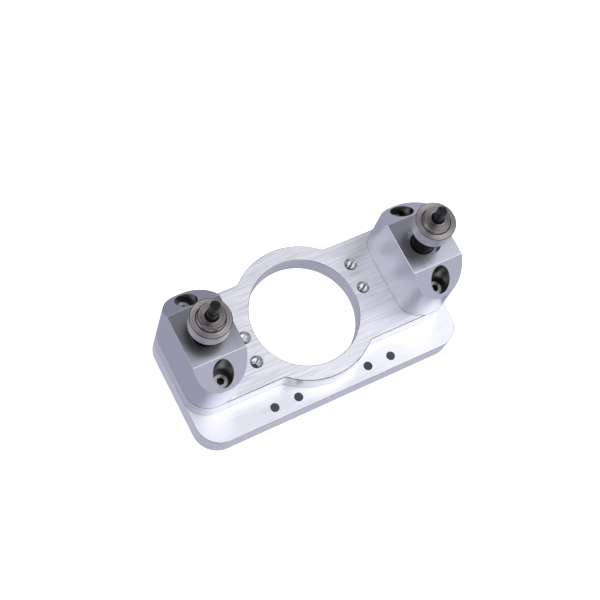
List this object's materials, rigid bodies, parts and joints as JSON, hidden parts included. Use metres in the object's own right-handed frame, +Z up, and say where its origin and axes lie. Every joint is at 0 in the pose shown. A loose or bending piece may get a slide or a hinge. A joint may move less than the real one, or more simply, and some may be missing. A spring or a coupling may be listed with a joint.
{
  "type": "watch movement holder",
  "caption": "Aluminium bench fixture that holds a watch movement in a round bore between two towers, each with a sprung locating pin and a height-adjustable steel rest.",
  "frame": {"origin": "middle of the footprint (bounding box) on the underside; the bore axis is 2.2 mm behind it", "axes": "+X along the length from the left tower to the right tower, +Y away from the open ledge, +Z up along the bore axis"},
  "size_m": [0.1046, 0.0556, 0.0668],
  "materials": {
    "base": "fine brushed, clear anodised",
    "ring": "brushed along the length",
    "tower": "satin milled",
    "tower_screw": "plain steel",
    "plug": "matt black",
    "bush": "black polymer",
    "seat": "plain steel",
    "spring": "spring steel",
    "plunger": "black oxide, glossy",
    "cap": "turned",
    "nut": "turned",
    "clip": "spring steel"
  },
  "bodies": {
    "frame": {"base_plate": "base", "ring_plate": "ring", "ledge_plugs": "plug", "left_tower": "tower", "left_tower_screws": "tower_screw", "left_bush": "bush", "left_spring_seat": "seat", "left_spring": "spring", "right_tower": "tower", "right_tower_screws": "tower_screw", "right_bush": "bush", "right_spring_seat": "seat", "right_spring": "spring"},
    "left_post": {"left_plunger": "plunger"},
    "left_rest": {"left_cap_ring": "cap", "left_cap_clip": "clip"},
    "left_nut": {"left_adjusting_nut": "nut"},
    "right_post": {"right_plunger": "plunger"},
    "right_rest": {"right_cap_ring": "cap", "right_cap_clip": "clip"},
    "right_nut": {"right_adjusting_nut": "nut"}
  },
  "joints": [
    {"name": "left_post_press", "type": "slide", "parent": "frame", "child": "left_post", "axis": [0, 0, 1], "range_m": [-0.004, 0], "stiffness_N_per_m": 2500, "springref_m": 0.003, "deforming": ["left_spring"]},
    {"name": "left_cap_height", "type": "slide", "parent": "left_post", "child": "left_rest", "axis": [0, 0, 1], "range_m": [-0.0014, 0.0042]},
    {"name": "left_nut_turn", "type": "hinge", "parent": "left_rest", "child": "left_nut", "pos_m": [-0.0425, 0.0022, 0.0549], "axis": [0, 0, 1], "range_deg": [-720, 2160]},
    {"name": "right_post_press", "type": "slide", "parent": "frame", "child": "right_post", "axis": [0, 0, 1], "range_m": [-0.004, 0], "stiffness_N_per_m": 2500, "springref_m": 0.003, "deforming": ["right_spring"]},
    {"name": "right_cap_height", "type": "slide", "parent": "right_post", "child": "right_rest", "axis": [0, 0, 1], "range_m": [-0.0042, 0.0014]},
    {"name": "right_nut_turn", "type": "hinge", "parent": "right_rest", "child": "right_nut", "pos_m": [0.0425, 0.0022, 0.0581], "axis": [0, 0, 1], "range_deg": [-2160, 720]}
  ],
  "couplings": [
    {"joint": "left_nut_turn", "follows": "left_cap_height", "rad_per_m": 8975.9},
    {"joint": "right_nut_turn", "follows": "right_cap_height", "rad_per_m": 8975.9}
  ]
}
